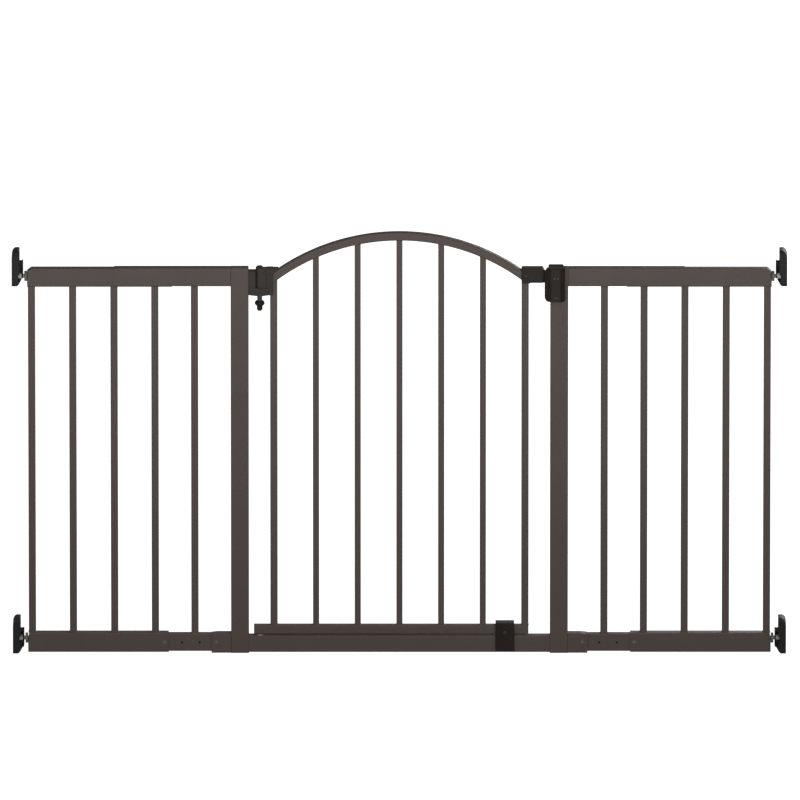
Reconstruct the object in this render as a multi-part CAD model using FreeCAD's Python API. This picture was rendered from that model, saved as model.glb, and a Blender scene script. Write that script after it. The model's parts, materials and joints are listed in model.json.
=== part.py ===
import FreeCAD, Part
import math
import os

# Walk-through safety gate: a fixed centre frame with a lift-and-swing arched door, two side panels that
# telescope on it, and four threaded wall feet. Millimetres, +X to the right, +Y to the back, +Z up.
# Shapes are drawn about the gate's own middle plane, y = 0, and shifted by PLANE_Y when they are written,
# so that the origin is under the middle of the whole gate's box.

V = FreeCAD.Vector

# --- driving dimensions -------------------------------------------------------------------------------
# Centre frame
DOORWAY = 639.0                 # clear width between the two posts
POST_WIDTH = 38.0
FRAME_DEPTH = 23.0              # posts, top channels, foot sockets and bottom sleeves
FRAME_HEIGHT = 841.5            # floor to the top of the posts and rails
POST_CAP = 2.0                  # plastic lid on each post
TOP_RAIL = 40.0                 # height of the top channels
CHANNEL_END = 604.0             # where each top channel stops, from the middle
CHANNEL_SLOT = 443.0            # the channel's underside is open from here outwards
CHANNEL_WALL = 1.0
BASE_BOTTOM = 1.5
BASE_TOP = 38.0
BASE_DEPTH = 20.0
SOCKET_END = 399.0
SOCKET_TOP = 43.0
SLEEVE_BOTTOM = 2.0
SLEEVE_TOP = 44.0
SLEEVE_WALL = 2.2
INNER_TUBE_END = 690.0
INNER_TUBE_DEPTH = 18.0
INNER_TUBE_BOTTOM = 3.5
INNER_TUBE_TOP = 41.5
PIN_HOLE_FIRST = 424.4
PIN_HOLE_PITCH = 37.4
PIN_HOLE_COUNT = 7
PIN_HOLE_HEIGHT = 22.5
SOCKET_SCREW_X = 388.8
WALL = 1.2                      # steel tube walls
BAR_WALL = 1.0
SLIDE_GAP = 0.2                 # telescoping clearance on each side

# Side panels
PANEL_INNER_END = 482.0
SLEEVE_INNER_END = 490.0
PANEL_END = 787.0               # where the steel stops
END_CAP = 1.5
SIDE_BAR = 15.2
FIXED_BAR_X = 434.2
PANEL_BARS_X = (518.2, 604.7, 692.3, 779.4)
PANEL_TUBE_DROP = 1.3           # the sliding tube hangs this far below the channel
TOP_SLANT = (9.0, 7.6)          # run and drop of the corner cut off each top rail's end
SLEEVE_SLANT = (3.0, 14.0)

# Wall feet
WALL_FACE = 821.0
CUP_HEIGHT = 78.0
CUP_DEPTH = 46.0
CUP_PLATE = 16.6
CUP_BOSS = 7.6
CUP_LIP = 2.2                   # thickness of the boss's outer lip
CUP_BOSS_TOP = 50.5             # above the cup's lower edge
CUP_TAPER = (13.5, 17.0)        # run and rise under the boss
CUP_SHOULDER = (11.0, 17.0)     # run and drop of the rounded upper corner at the wall
CUP_SCREW_UP = 58.0
CUP_SCREW_R = 2.25
TOP_SPINDLE_Z = 822.0
BOTTOM_SPINDLE_Z = 31.0
TOP_CUP_Z = TOP_SPINDLE_Z - 19.0
SPINDLE_R = 4.4
SPINDLE_START = 732.0
NECK_R = 5.0
FOOT_R = 6.2
NUT_R = 11.0
NUT_THICK = 5.6
RUNNING = 0.05                  # radial clearance of every turning or sliding pin

# Door
HINGE_X = -296.0
STILE_X = 266.3
STILE = 15.3
DOOR_BAR = 13.0
DOOR_BAR_PITCH = 88.5
DOOR_RAIL_BOTTOM = 41.0
DOOR_RAIL_TOP = 60.0
DOOR_RAIL_LEFT = -309.0
ARCH_OUTER_R = 450.0
ARCH_TUBE = 17.5
DOOR_TOP = 918.0
ARCH_Z = DOOR_TOP - ARCH_OUTER_R

# Hinge
PIN_R = 5.2
KNUCKLE_BOTTOM = 780.0
KNUCKLE_TOP = 797.0
KNUCKLE_HALF = 10.0
KNUCKLE_REACH = 21.6            # from the pin, short of the swinging stile
BRACKET_TOP = 834.0
HOUSING_R = 8.5
HOUSING_TOP = 840.0
HOUSING_END = -267.5
CREST_END = -256.0              # the housing's thin crest over the arch's foot
CAP_R = 8.0
CAP_HEIGHT = 3.8
RETAINER_TOP = 768.0
RETAINER_BOTTOM = 746.5

# Latch
ARM_LEFT = 258.6
ARM_BOTTOM = 809.4
ARM_TOP = 841.0
ARM_DEPTH = 24.0
CLAMP_RIGHT = 277.0             # the part of the arm that clasps the stile
CLAMP_BOTTOM = 808.0
HANDLE_LEFT = 307.5
HANDLE_RIGHT = 350.5
HANDLE_BOTTOM = 772.0
HANDLE_TOP = 844.0
HANDLE_FRONT = -32.0
HANDLE_SPLIT = -23.0
HANDLE_BACK = -13.5
HANDLE_WALL = 2.2
LEFT_FACET = (14.0, 11.0)       # run and depth of the facet beside the handle's front face
RIGHT_FACET = (10.0, 8.0)
WING_RIGHT = 317.2
WING_BACK = 11.5
WING_TOP = 832.0
BOLT_TRAVEL = 6.0
STRIKER_THICK = 1.2
LIFT = 10.0                     # the door rises this far on its pin

# Stop clip
CLIP_LEFT = 204.0
CLIP_RIGHT = 243.6
CLIP_BOTTOM = 5.5
CLIP_TOP = 66.5
CLIP_FRONT = -15.0
CLIP_BACK = 12.0

POST_IN = DOORWAY / 2
POST_OUT = POST_IN + POST_WIDTH
RAIL_BOTTOM = FRAME_HEIGHT - TOP_RAIL
HALF_DEPTH = FRAME_DEPTH / 2
PLANE_Y = (-HANDLE_FRONT - CUP_DEPTH / 2) / 2


# --- shape helpers ------------------------------------------------------------------------------------
def block(x, y, z):
    """A box from three (low, high) pairs."""
    return Part.makeBox(x[1] - x[0], y[1] - y[0], z[1] - z[0], V(x[0], y[0], z[0]))


def outline(width, height, radius):
    """A rounded rectangle as a closed wire about the origin of the XY plane."""
    cx = width / 2 - radius
    cy = height / 2 - radius
    arcs = []
    for turn, (mx, my) in enumerate(((cx, cy), (-cx, cy), (-cx, -cy), (cx, -cy))):
        points = []
        for step in range(3):
            angle = math.radians(90 * turn + 45 * step)
            points.append(V(mx + radius * math.cos(angle), my + radius * math.sin(angle), 0))
        arcs.append(points)
    edges = []
    for i, arc in enumerate(arcs):
        edges.append(Part.Arc(*arc).toShape())
        edges.append(Part.makeLine(arc[2], arcs[(i + 1) % 4][0]))
    return Part.Wire(edges)


def section(width, height, radius, wall):
    """The cross section of a bar, or of a tube when it has a wall."""
    face = Part.Face(outline(width, height, radius))
    if not wall:
        return face
    inner = Part.Face(outline(width - 2 * wall, height - 2 * wall, max(radius - wall, 0.4)))
    return face.cut(inner)


def upright(x, z, width, depth, radius=2.0, wall=WALL, y=0.0):
    """A vertical bar or tube centred on (x, y), from z[0] to z[1]."""
    shape = section(width, depth, radius, wall).extrude(V(0, 0, z[1] - z[0]))
    shape.translate(V(x, y, z[0]))
    return shape


def rail(x, z, depth, radius=2.0, wall=WALL, y=0.0):
    """A bar or tube along X that fills z[0] to z[1]."""
    shape = section(z[1] - z[0], depth, radius, wall).extrude(V(0, 0, x[1] - x[0]))
    shape.rotate(V(0, 0, 0), V(0, 1, 0), 90)
    shape.translate(V(x[0], y, (z[0] + z[1]) / 2))
    return shape


def rod_x(x, y, z, radius):
    return Part.makeCylinder(radius, x[1] - x[0], V(x[0], y, z), V(1, 0, 0))


def rod_y(x, y, z, radius):
    return Part.makeCylinder(radius, y[1] - y[0], V(x, y[0], z), V(0, 1, 0))


def rod_z(x, y, z, radius):
    return Part.makeCylinder(radius, z[1] - z[0], V(x, y, z[0]), V(0, 0, 1))


def prism_z(points, z):
    """A vertical prism over a list of (x, y) corners."""
    wire = Part.makePolygon([V(px, py, z[0]) for px, py in points + points[:1]])
    return Part.Face(wire).extrude(V(0, 0, z[1] - z[0]))


def prism_y(points, y):
    """A prism along Y over a list of (x, z) corners."""
    wire = Part.makePolygon([V(px, y[0], pz) for px, pz in points + points[:1]])
    return Part.Face(wire).extrude(V(0, y[1] - y[0], 0))


def edges_near(shape, test):
    """The edges whose middle point passes the test."""
    return [e for e in shape.Edges if test(e.valueAt((e.FirstParameter + e.LastParameter) / 2))]


def rings(shape, low, high):
    """The circular edges of a turned shape whose height is between low and high."""
    circles = [e for e in shape.Edges if e.Curve.TypeId == "Part::GeomCircle"]
    return [e for e in circles if low < e.Curve.Center.z < high]


def domed_screw(x, z, face_y, head_r, head_height, shank_r, shank_length):
    """A screw along Y: a domed head proud of face_y on the front, and a shank behind it."""
    ball_r = (head_r ** 2 + head_height ** 2) / (2 * head_height)
    ball = Part.makeSphere(ball_r, V(x, face_y - head_height + ball_r, z))
    head = ball.common(rod_y(x, (face_y - head_height, face_y), z, head_r))
    return head.fuse(rod_y(x, (face_y, face_y + shank_length), z, shank_r))


def mirrored(shape):
    return shape.mirror(V(0, 0, 0), V(1, 0, 0))


def group(shapes):
    """Separate solids that share one node."""
    return Part.makeCompound([solid for shape in shapes for solid in shape.Solids])


# --- centre frame: drawn for the right-hand side ------------------------------------------------------
SOCKET_SHANK = 4.0
SOCKET_SHANK_R = 2.0
RAIL_SCREW_HEAD = (4.6, 2.2)    # radius and height of the domed heads on the bottom rails


def screw_hole(x, z, radius):
    """A hole through front walls only."""
    return rod_y(x, (-HALF_DEPTH - 1, 0), z, radius)


def post():
    return upright(POST_IN + POST_WIDTH / 2, (0, FRAME_HEIGHT - POST_CAP), POST_WIDTH, FRAME_DEPTH)


def bolt_slot(y, grow):
    """The tall slot that the latch bolt enters; it leaves room for the door to be lifted."""
    low = BOLT_Z[0] - grow
    high = BOLT_Z[1] + LIFT + grow
    return block((BOLT_X[0] - grow, BOLT_X[1] + grow), y, (low, high))


def post_cap():
    middle = POST_IN + POST_WIDTH / 2
    lid = upright(middle, (FRAME_HEIGHT - POST_CAP, FRAME_HEIGHT), POST_WIDTH, FRAME_DEPTH, wall=0)
    rim = edges_near(lid, lambda p: p.z > FRAME_HEIGHT - 0.01)
    lid = lid.makeFillet(0.8, rim)
    width = POST_WIDTH - 2 * WALL - 0.2
    depth = FRAME_DEPTH - 2 * WALL - 0.2
    plug = upright(middle, (FRAME_HEIGHT - POST_CAP - 12, FRAME_HEIGHT - POST_CAP), width, depth, 1.0, 0)
    return lid.fuse(plug)


def base_rail():
    rail_tube = rail((-POST_IN, POST_IN), (BASE_BOTTOM, BASE_TOP), BASE_DEPTH)
    return rail_tube.cut(rod_z(HINGE_X, 0, (BASE_TOP - 5, BASE_TOP + 1), PIVOT_R))


def top_channel():
    channel = rail((POST_OUT, CHANNEL_END), (RAIL_BOTTOM, FRAME_HEIGHT), FRAME_DEPTH, wall=CHANNEL_WALL)
    half = HALF_DEPTH - CHANNEL_WALL
    slot = block((CHANNEL_SLOT, CHANNEL_END + 1), (-half, half), (RAIL_BOTTOM - 1, RAIL_BOTTOM + 5))
    return channel.cut(slot)


def foot_socket():
    """A short sleeve welded to the post's foot, filled by the inner tube."""
    socket = rail((POST_OUT, SOCKET_END), (0, SOCKET_TOP), FRAME_DEPTH, wall=0)
    bore = (INNER_TUBE_BOTTOM, INNER_TUBE_TOP)
    socket = socket.cut(rail((POST_OUT - 1, SOCKET_END + 1), bore, INNER_TUBE_DEPTH, wall=0))
    bevel = prism_y([(SOCKET_END - 22, SOCKET_TOP + 1), (SOCKET_END + 1, SOCKET_TOP + 1),
                     (SOCKET_END + 1, SOCKET_TOP - 2.2)], (-HALF_DEPTH - 1, HALF_DEPTH + 1))
    socket = socket.cut(bevel)
    return socket.cut(screw_hole(SOCKET_SCREW_X, PIN_HOLE_HEIGHT, SOCKET_SHANK_R))


def inner_tube():
    tube = rail((POST_OUT, INNER_TUBE_END), (INNER_TUBE_BOTTOM, INNER_TUBE_TOP), INNER_TUBE_DEPTH)
    for i in range(PIN_HOLE_COUNT):
        x = PIN_HOLE_FIRST + i * PIN_HOLE_PITCH
        tube = tube.cut(rod_y(x, (-HALF_DEPTH, 0), PIN_HOLE_HEIGHT, SOCKET_SHANK_R + 0.1))
    return tube.cut(screw_hole(SOCKET_SCREW_X, PIN_HOLE_HEIGHT, SOCKET_SHANK_R))


def socket_screw():
    return domed_screw(SOCKET_SCREW_X, PIN_HOLE_HEIGHT, -HALF_DEPTH, *RAIL_SCREW_HEAD, SOCKET_SHANK_R,
                       SOCKET_SHANK)


def fixed_bar():
    return upright(FIXED_BAR_X, (INNER_TUBE_TOP, RAIL_BOTTOM), SIDE_BAR, SIDE_BAR, 1.5, BAR_WALL)


PIVOT_R = 4.0
PIVOT_TOP = 57.0


def pivot_pin():
    """The lower hinge pin, with a collar above the base rail's wall and a flange below it."""
    pin = rod_z(HINGE_X, 0, (BASE_TOP - WALL, PIVOT_TOP), PIVOT_R)
    pin = pin.makeChamfer(1.0, edges_near(pin, lambda p: p.z > PIVOT_TOP - 0.01))
    collar = rod_z(HINGE_X, 0, (BASE_TOP, BASE_TOP + 1.2), 7.0)
    flange = rod_z(HINGE_X, 0, (BASE_TOP - WALL - 1.5, BASE_TOP - WALL), 7.0)
    return pin.fuse([collar, flange]).removeSplitter()


def hinge_bracket():
    """A casting on the left post: a plate, a lip behind the door's knuckle, and the pin's bored shelf."""
    shelf_end = KNUCKLE_BOTTOM + 2.2
    reach = HINGE_X + KNUCKLE_REACH
    plate = block((-POST_IN, HINGE_X - HOUSING_R - 0.3), (-HOUSING_R, HALF_DEPTH), (shelf_end, BRACKET_TOP))
    lip = block((-POST_IN, HINGE_X + 7), (HOUSING_R + 0.7, HALF_DEPTH), (KNUCKLE_TOP - 3, BRACKET_TOP))
    shelf = prism_y([(-POST_IN, shelf_end), (HINGE_X - 6, KNUCKLE_BOTTOM), (HINGE_X + 6, KNUCKLE_BOTTOM),
                     (reach, shelf_end), (reach, KNUCKLE_TOP), (-POST_IN, KNUCKLE_TOP)],
                    (-KNUCKLE_HALF, KNUCKLE_HALF))
    z = (KNUCKLE_BOTTOM - 1, KNUCKLE_TOP + 1)
    root = block((-POST_IN, HINGE_X), (-KNUCKLE_HALF, KNUCKLE_HALF), z)
    room = rod_z(HINGE_X, 0, z, KNUCKLE_REACH).fuse(root)
    bracket = plate.fuse([lip, shelf.common(room)]).removeSplitter()
    bracket = bracket.makeFillet(1.5, edges_near(bracket, lambda p: p.z > BRACKET_TOP - 0.01 and p.y < 0
                                                 and p.x > -POST_IN + 0.01))
    return bracket.cut(rod_z(HINGE_X, 0, z, PIN_R + RUNNING))


# --- latch bolt and its surroundings ------------------------------------------------------------------
BOLT_X = (323.0, 334.0)
BOLT_Z = (806.0, 816.0)
BLADE_X = (321.5, 337.0)
BLADE_Y = (-27.0, -22.5)
BLADE_TOP = 829.0
BUTTON_X = (315.5, 347.5)
BUTTON_Y = (-31.0, -19.0)
BUTTON_Z = (844.4, 852.6)
STEM_X = (322.0, 335.0)


def striker_plate():
    """A thin steel plate on the post's front, round the bolt slot."""
    low = BOLT_Z[0] - 6
    high = BOLT_Z[1] + LIFT + 6
    plate = block((BOLT_X[0] - 3, BOLT_X[1] + 9), (-HALF_DEPTH - STRIKER_THICK, -HALF_DEPTH), (low, high))
    middle_y = -HALF_DEPTH - STRIKER_THICK / 2
    plate = plate.makeFillet(2.5, edges_near(plate, lambda p: abs(p.y - middle_y) < 0.01))
    return plate.cut(bolt_slot((-HALF_DEPTH - 3, -HALF_DEPTH + 1), 0.4))


def thumb_button():
    cap = block(BUTTON_X, BUTTON_Y, BUTTON_Z)
    cap = cap.makeFillet(2.4, edges_near(cap, lambda p: p.z > BUTTON_Z[0] + 0.01))
    stem = block(STEM_X, BLADE_Y, (BLADE_TOP, BUTTON_Z[0]))
    return cap.fuse(stem).removeSplitter()


def lock_bolt():
    blade = block(BLADE_X, BLADE_Y, (BOLT_Z[0] - 4, BLADE_TOP))
    tongue = block(BOLT_X, (BLADE_Y[1], HANDLE_BACK - 0.4), BOLT_Z)
    return blade.fuse(tongue).removeSplitter()


def handle_block(inset, z):
    """The faceted block before the post, with its front and sides moved in by an inset."""
    left = HANDLE_LEFT + inset
    right = HANDLE_RIGHT - inset
    front = HANDLE_FRONT + inset
    back = HANDLE_BACK - inset
    trim = 0.45 * inset
    corners = [(left, back), (left, HANDLE_FRONT + LEFT_FACET[1] + trim),
               (HANDLE_LEFT + LEFT_FACET[0] + trim, front), (HANDLE_RIGHT - RIGHT_FACET[0] - trim, front),
               (right, HANDLE_FRONT + RIGHT_FACET[1] + trim), (right, back)]
    return prism_z(corners, z)


def handle_marks():
    """Shallow grooves: grips on both facets, and a lift arrow, two windows and a slot on the front."""
    skin = handle_block(GROOVE, (HANDLE_BOTTOM - 1, HANDLE_TOP + 1))
    side = (HANDLE_FRONT - 1, HANDLE_BACK - 3)
    top = ARROW_Z + 12
    arrow = [(ARROW_X, ARROW_Z), (ARROW_X + 7, top), (ARROW_X + 5, top), (ARROW_X, ARROW_Z + 3.4),
             (ARROW_X - 5, top), (ARROW_X - 7, top)]
    marks = [prism_y(arrow, side)]
    for i in range(5):
        z = GRIP_Z + i * 4.4
        marks.append(block((HANDLE_LEFT - 1, ARROW_X - 9), side, (z, z + 1.8)))
        marks.append(block((ARROW_X + 9, HANDLE_RIGHT + 1), side, (z, z + 1.8)))
    for way in (-1, 1):
        window = ARROW_X + way * 3.2
        marks.append(block((window - 1.5, window + 1.5), side, (ARROW_Z - 1.5, ARROW_Z + 2.0)))
    marks.append(block((ARROW_X - 4, ARROW_X + 4), side, (HANDLE_BOTTOM + 7, HANDLE_BOTTOM + 10)))
    return [mark.cut(skin) for mark in marks]


def handle_body():
    """The handle's whole outer form: the block before the post and a wing along the post's inner side."""
    z = (HANDLE_BOTTOM, HANDLE_TOP)
    wing = block((HANDLE_LEFT, WING_RIGHT), (HANDLE_BACK - 1, WING_BACK), (HANDLE_BOTTOM, WING_TOP))
    body = handle_block(0.0, z).fuse(wing).removeSplitter()
    low_corner = prism_y([(HANDLE_LEFT - 1, HANDLE_BOTTOM - 1), (HANDLE_LEFT - 1, HANDLE_BOTTOM + 9),
                          (HANDLE_LEFT, HANDLE_BOTTOM + 7), (HANDLE_LEFT + 4, HANDLE_BOTTOM),
                          (HANDLE_LEFT + 5, HANDLE_BOTTOM - 1)], (HANDLE_FRONT - 1, WING_BACK + 1))
    high_corner = prism_y([(HANDLE_LEFT - 1, HANDLE_TOP + 1), (HANDLE_LEFT - 1, HANDLE_TOP - 9),
                           (HANDLE_LEFT, HANDLE_TOP - 9), (HANDLE_LEFT + 5, HANDLE_TOP),
                           (HANDLE_LEFT + 5, HANDLE_TOP + 1)], (HANDLE_FRONT - 1, WING_BACK + 1))
    return body.cut([low_corner, high_corner])


def handle_cavity():
    hollow = handle_block(HANDLE_WALL, (HANDLE_BOTTOM + 6, HANDLE_TOP - HANDLE_WALL))
    return hollow.cut(block((HANDLE_LEFT, HANDLE_LEFT + 8), (HANDLE_FRONT, HANDLE_BACK),
                            (HANDLE_BOTTOM, HANDLE_TOP)))


ARROW_X = 332.0
ARROW_Z = 823.0
GRIP_Z = 794.0
GROOVE = 0.8
HANDLE_SCREWS = ((342.0, 781.0), (342.0, 835.0))
HANDLE_BOSS_R = 3.2
HANDLE_SHANK_R = 1.5


def handle_shell(front):
    """One half of the handle, split across its depth; the halves meet on bosses at the two screws."""
    y = (HANDLE_FRONT - 5, HANDLE_SPLIT) if front else (HANDLE_SPLIT, WING_BACK + 5)
    half_space = block((HANDLE_LEFT - 5, HANDLE_RIGHT + 5), y, (HANDLE_BOTTOM - 5, HANDLE_TOP + 5))
    bosses = [rod_y(x, (HANDLE_FRONT + 1, HANDLE_BACK - 1), z, HANDLE_BOSS_R) for x, z in HANDLE_SCREWS]
    hollow = handle_cavity()
    for boss in bosses:
        hollow = hollow.cut(boss)
    shell = handle_body().cut(hollow).cut(handle_marks())
    clear = 0.4
    slot = block((STEM_X[0] - clear, STEM_X[1] + clear),
                 (BLADE_Y[0] - clear, BLADE_Y[1] + BOLT_TRAVEL + clear), (HANDLE_TOP - 5, HANDLE_TOP + 1))
    mouth = block((BOLT_X[0] - clear, BOLT_X[1] + clear), (HANDLE_BACK - 5, HANDLE_BACK + 1),
                  (BOLT_Z[0] - clear, BOLT_Z[1] + clear))
    shell = shell.cut(slot).cut(mouth)
    for x, z in HANDLE_SCREWS:
        shell = shell.cut(rod_y(x, (HANDLE_FRONT + 4, HANDLE_BACK + 1), z, HANDLE_SHANK_R))
        shell = shell.cut(rod_y(x, (HANDLE_BACK - 1.8, HANDLE_BACK + 1), z, 2.8))
    return shell.common(half_space)


def handle_screw(x, z):
    shank = rod_y(x, (HANDLE_FRONT + 4.5, HANDLE_BACK - 1.8), z, HANDLE_SHANK_R)
    head = rod_y(x, (HANDLE_BACK - 1.8, HANDLE_BACK - 0.2), z, 2.8)
    return shank.fuse(head).removeSplitter()


ARM_SCREW = (268.5, 824.0)
ARM_SHANK_R = 1.7


def latch_arm(front):
    """Half of the plastic arm that clamps the latch stile and carries the handle."""
    y = (-ARM_DEPTH / 2, ARM_DEPTH / 2)
    bridge = block((ARM_LEFT, HANDLE_LEFT), y, (ARM_BOTTOM, ARM_TOP))
    arm = bridge.fuse(block((ARM_LEFT, CLAMP_RIGHT), y, (CLAMP_BOTTOM, ARM_BOTTOM))).removeSplitter()
    arm = arm.makeFillet(3.0, edges_near(arm, lambda p: p.x < ARM_LEFT + 0.01 and abs(p.y) > y[1] - 0.01))
    arm = arm.makeFillet(1.5, edges_near(arm, lambda p: p.z > ARM_TOP - 0.01 and p.x < HANDLE_LEFT - 0.01))
    waist = ARM_DEPTH / 2 - 4
    for side in (-1, 1):
        far = side * (ARM_DEPTH / 2 + 1)
        y = sorted((side * waist, far))
        arm = arm.cut(block((HANDLE_LEFT - 2.5, HANDLE_LEFT + 1), y, (ARM_BOTTOM - 1, ARM_TOP + 1)))
    corner = [(HANDLE_LEFT - 4, ARM_TOP + 1), (HANDLE_LEFT - 4, ARM_TOP), (HANDLE_LEFT, ARM_TOP - 5),
              (HANDLE_LEFT + 1, ARM_TOP - 5), (HANDLE_LEFT + 1, ARM_TOP + 1)]
    arm = arm.cut(prism_y(corner, (-ARM_DEPTH, ARM_DEPTH)))
    arm = arm.cut(arch_solid()).cut(stile_solid(1))
    arm = arm.cut(arm_screw_hole((-ARM_DEPTH, ARM_DEPTH / 2 - 3)))
    y = (-ARM_DEPTH, 0) if front else (0, ARM_DEPTH)
    half = arm.common(block((ARM_LEFT - 5, HANDLE_LEFT + 5), y, (ARM_BOTTOM - 5, ARM_TOP + 5)))
    return Part.makeCompound(half.Solids)


def latch_arm_screw():
    return domed_screw(ARM_SCREW[0], ARM_SCREW[1], -ARM_DEPTH / 2, 4.0, 2.0, ARM_SHANK_R, ARM_DEPTH - 4)


# --- door ---------------------------------------------------------------------------------------------
BUSH_R = 6.5
CLIP_SCREW = ((CLIP_LEFT + CLIP_RIGHT) / 2, 45.5)
CLIP_SHANK_R = 1.7


def arch_sweep(wall):
    """The arch's square tube, or bar without a wall, bent to one radius between the stiles' outer faces."""
    face = section(ARCH_TUBE, ARCH_TUBE, 1.6, wall)
    face.translate(V(ARCH_OUTER_R - ARCH_TUBE / 2, 0, ARCH_Z))
    half_turn = face.revolve(V(0, 0, ARCH_Z), V(0, -1, 0), 180)
    reach = STILE_X + STILE / 2
    return half_turn.common(block((-reach, reach), (-50, 50), (ARCH_Z + 200, DOOR_TOP + 5)))


def arch_solid():
    return arch_sweep(0)


def arm_screw_hole(y):
    return rod_y(ARM_SCREW[0], y, ARM_SCREW[1], ARM_SHANK_R)


def door_arch():
    return arch_sweep(WALL).cut(arm_screw_hole((-ARCH_TUBE, ARCH_TUBE)))


def under_arch(shape):
    """Cuts a bar's top to the arch's inner radius."""
    above = block((-ARCH_OUTER_R, ARCH_OUTER_R), (-50, 50), (ARCH_Z + 200, DOOR_TOP + 50))
    inside = Part.makeCylinder(ARCH_OUTER_R - ARCH_TUBE, 100, V(0, -50, ARCH_Z), V(0, 1, 0))
    return shape.cut(above.cut(inside))


def stile_solid(side):
    return under_arch(upright(side * STILE_X, (DOOR_RAIL_TOP, DOOR_TOP), STILE, STILE, 1.6, 0))


def stile(side):
    return under_arch(upright(side * STILE_X, (DOOR_RAIL_TOP, DOOR_TOP), STILE, STILE, 1.6, BAR_WALL))


def door_bar(x):
    return under_arch(upright(x, (DOOR_RAIL_TOP, DOOR_TOP), DOOR_BAR, DOOR_BAR, 1.5, BAR_WALL))


def door_rail():
    right = STILE_X + STILE / 2
    tube = rail((DOOR_RAIL_LEFT, right), (DOOR_RAIL_BOTTOM, DOOR_RAIL_TOP), ARCH_TUBE)
    tube = tube.cut(rod_z(HINGE_X, 0, (DOOR_RAIL_BOTTOM - 1, DOOR_RAIL_BOTTOM + 5), BUSH_R))
    return tube.cut(rod_y(CLIP_SCREW[0], (-ARCH_TUBE, 0), CLIP_SCREW[1], CLIP_SHANK_R))


def door_rail_plugs():
    right = STILE_X + STILE / 2
    depth = ARCH_TUBE - 2 * WALL - 0.1
    z = (DOOR_RAIL_BOTTOM + WALL + 0.05, DOOR_RAIL_TOP - WALL - 0.05)
    left_plug = rail((DOOR_RAIL_LEFT, DOOR_RAIL_LEFT + 5), z, depth, 0.5, 0)
    right_plug = rail((right - 5, right), z, depth, 0.5, 0)
    return group([left_plug, right_plug])


def pivot_bush():
    body = rod_z(HINGE_X, 0, (DOOR_RAIL_BOTTOM - 1.1, DOOR_RAIL_TOP - WALL - 0.2), BUSH_R)
    lip = rod_z(HINGE_X, 0, (DOOR_RAIL_BOTTOM - 1.1, DOOR_RAIL_BOTTOM), BUSH_R + 2)
    bush = body.fuse(lip).removeSplitter()
    return bush.cut(rod_z(HINGE_X, 0, (DOOR_RAIL_BOTTOM - 2, DOOR_RAIL_TOP), PIVOT_R + RUNNING))


def hinge_housing():
    """The door's knuckle: round at the pin, flared at the stile, with a crest above and a skirt below."""
    z = (KNUCKLE_TOP + 0.4, HOUSING_TOP)
    nose = rod_z(HINGE_X, 0, z, HOUSING_R)
    shank = block((HINGE_X, HOUSING_END), (-HOUSING_R, HOUSING_R), z)
    lips = block((HINGE_X + 15, HOUSING_END), (-HALF_DEPTH, HALF_DEPTH), z)
    crest_z = (HOUSING_TOP - 14, HOUSING_TOP)
    crest = block((HOUSING_END, CREST_END), (-ARCH_TUBE / 2, ARCH_TUBE / 2), crest_z)
    skirt_z = (KNUCKLE_BOTTOM + 2.2, z[0])
    skirt = block((HINGE_X + 15, HOUSING_END), (-HALF_DEPTH, HALF_DEPTH), skirt_z)
    skirt = skirt.cut(block((HINGE_X, HOUSING_END), (-4, 4), skirt_z))
    skirt = skirt.cut(rod_z(HINGE_X, 0, (skirt_z[0] - 1, skirt_z[1]), KNUCKLE_REACH + 0.3))
    housing = nose.fuse([shank, lips, crest, skirt]).removeSplitter()
    housing = housing.cut(arch_solid()).cut(stile_solid(-1))
    return housing.cut(rod_z(HINGE_X, 0, (z[0] - 1, z[1] + 1), PIN_R + RUNNING))


def hinge_pin():
    return rod_z(HINGE_X, 0, (RETAINER_TOP - 9, HOUSING_TOP + 0.3 + CAP_HEIGHT / 2), PIN_R)


def revolved(points):
    """A solid turned about the hinge axis from (radius, z) points."""
    corners = [V(HINGE_X + r, 0, z) for r, z in points + points[:1]]
    face = Part.Face(Part.makePolygon(corners))
    return face.revolve(V(HINGE_X, 0, 0), V(0, 0, 1), 360)


def pin_cap():
    low = HOUSING_TOP + 0.3
    high = low + CAP_HEIGHT
    cap = revolved([(0, low), (CAP_R, low), (CAP_R, low + 1.4), (CAP_R - 2.4, high), (0, high)])
    cap = cap.makeFillet(1.0, rings(cap, low + 1, high + 1))
    return cap.cut(hinge_pin())


def retaining_nut():
    """The acorn nut that stops the pin from being lifted out of the bracket."""
    top = RETAINER_TOP
    tip = RETAINER_BOTTOM
    nut = revolved([(0, top), (8.2, top), (10.4, top - 3), (10.4, top - 7), (6.0, top - 11.5),
                    (6.0, tip + 3), (3.6, tip), (0, tip)])
    nut = nut.makeFillet(1.0, rings(nut, tip + 1, top - 1))
    return nut.cut(hinge_pin())


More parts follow.
